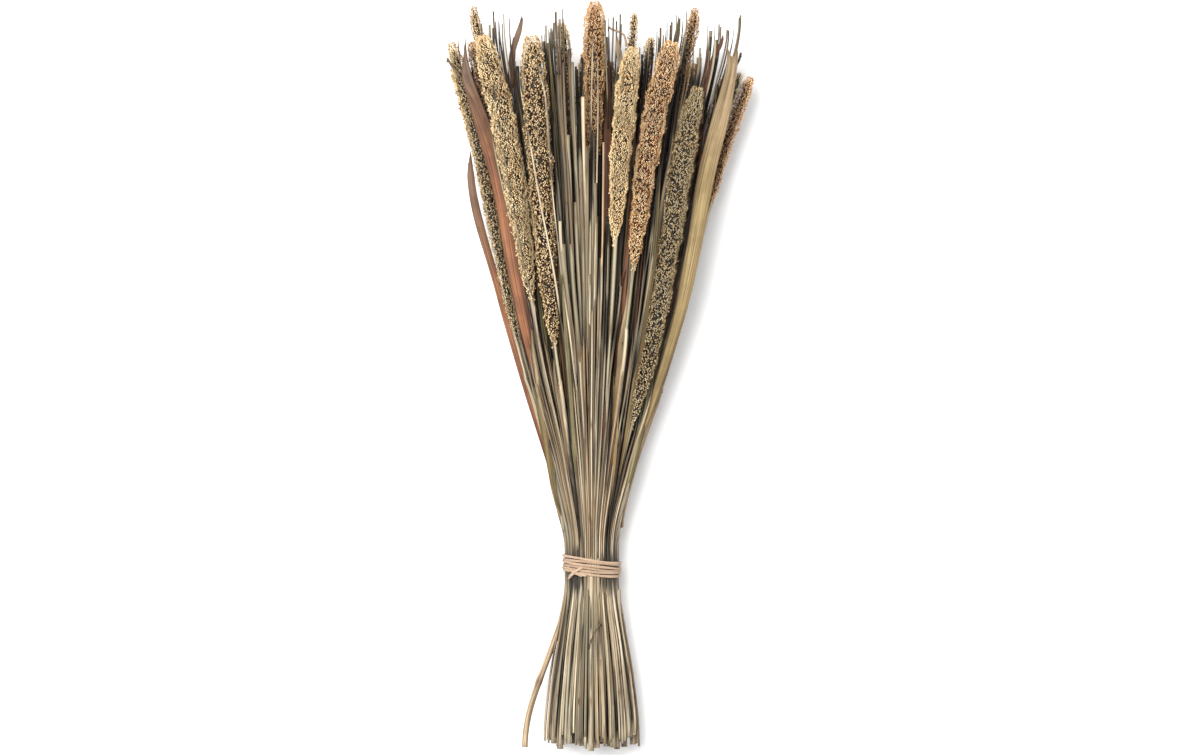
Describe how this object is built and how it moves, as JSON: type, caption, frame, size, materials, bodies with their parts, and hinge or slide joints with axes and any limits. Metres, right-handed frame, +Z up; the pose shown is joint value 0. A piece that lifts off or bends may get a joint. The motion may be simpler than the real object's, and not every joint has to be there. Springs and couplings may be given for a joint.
{
  "type": "bundle of dried foxtail millet",
  "caption": "Lying bunch of dried foxtail millet: bristly grain spikes, dry leaves and bare straws fan out from one raffia tie, with the cut stalks below it.",
  "frame": {"origin": "under the middle of the bunch's box, on the surface it lies on", "axes": "+Y along the stalks from the cut ends to the spikes, +Z up from the surface it lies on"},
  "size_m": [0.2658, 0.6502, 0.1037],
  "materials": {
    "straw": "cut khaki straws, ribbed lengthwise, dull",
    "pale_straw": "cream straws, ribbed lengthwise, slight sheen",
    "spike_cream": "pale cream grains and bristles with dark gaps",
    "spike_golden": "golden brown grains over a dark core",
    "spike_orange": "orange-tan grains with red-brown shadows",
    "spike_khaki": "khaki grains with dark bristles",
    "spike_olive": "olive-gold grains with dark bristles",
    "spike_rust": "rust-brown grains and bristles",
    "spike_dark": "dark red-brown grains",
    "leaf_copper": "copper-brown dry leaf with long veins",
    "leaf_tan": "khaki-tan dry leaf with long veins",
    "raffia": "pinkish-tan raffia, fibrous and matt"
  },
  "bodies": {
    "root": {"spike_khaki_right": "spike_khaki", "spike_orange_right": "spike_orange", "spike_cream_centre": "spike_cream", "spike_golden_left": "spike_golden", "spike_cream_left": "spike_cream", "spike_olive_left_edge": "spike_olive", "spike_rust_right_edge": "spike_rust", "spike_pale_right_edge": "spike_khaki", "spike_rust_behind": "spike_rust", "spike_dark_behind": "spike_dark", "spike_olive_behind": "spike_olive", "spike_short_behind": "spike_golden", "spike_tan_behind": "spike_golden", "spike_dark_right_behind": "spike_dark", "spike_brown_left_behind": "spike_dark", "spike_tan_left_behind": "spike_golden", "spike_under_left_edge": "spike_golden", "spike_under_left": "spike_khaki", "spike_under_left_inner": "spike_orange", "spike_under_centre": "spike_golden", "spike_under_right_inner": "spike_cream", "spike_under_right": "spike_rust", "spike_under_right_edge": "spike_olive", "leaf_wide_right": "leaf_tan", "leaf_copper_left": "leaf_copper", "leaf_narrow_left": "leaf_copper", "leaf_under_right": "leaf_tan", "straws_core": "straw", "straws_front_right": "straw", "straws_front_left": "straw", "straws_under_left": "pale_straw", "straws_under_mid_left": "straw", "straws_under_mid_right": "pale_straw", "straws_right": "straw", "straws_left": "straw", "straws_lower_200": "straw", "straws_lower_220": "pale_straw", "straws_lower_240": "straw", "straws_lower_260": "pale_straw", "straws_lower_280": "straw", "straws_lower_300": "pale_straw", "straws_lower_320": "straw", "straws_lower_340": "pale_straw", "straws_inner_0": "pale_straw", "straws_inner_30": "straw", "straws_inner_60": "pale_straw", "straws_inner_90": "straw", "straws_inner_120": "pale_straw", "straws_inner_150": "straw", "straws_inner_180": "pale_straw", "straws_inner_210": "straw", "straws_inner_240": "pale_straw", "straws_inner_270": "straw", "straws_inner_300": "pale_straw", "straws_inner_330": "straw", "raffia_tie": "raffia"}
  },
  "joints": []
}
